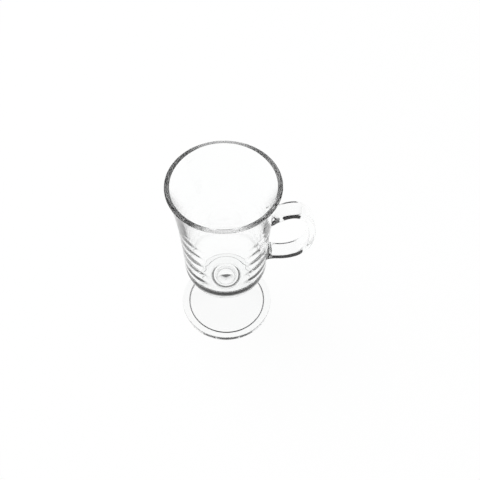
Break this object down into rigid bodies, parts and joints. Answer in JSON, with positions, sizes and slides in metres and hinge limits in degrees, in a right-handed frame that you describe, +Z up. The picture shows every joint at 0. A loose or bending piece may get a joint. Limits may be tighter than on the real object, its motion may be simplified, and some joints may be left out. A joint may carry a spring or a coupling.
{
  "type": "irish coffee glass mug",
  "caption": "Clear glass mug for hot drinks: a tall flared bowl with a flatly rounded lip on a short stem and a round foot, with an ear-shaped handle.",
  "frame": {"origin": "on the axis of the bowl, in the plane that the foot stands on", "axes": "+Z up along the axis of the bowl, +X towards the handle, +Y completing a right-handed frame"},
  "size_m": [0.1015, 0.0766, 0.148],
  "materials": {
    "clear_glass": "fire-polished clear glass"
  },
  "bodies": {
    "root": {"bowl": "clear_glass", "stem": "clear_glass", "foot": "clear_glass", "handle": "clear_glass"}
  },
  "joints": []
}
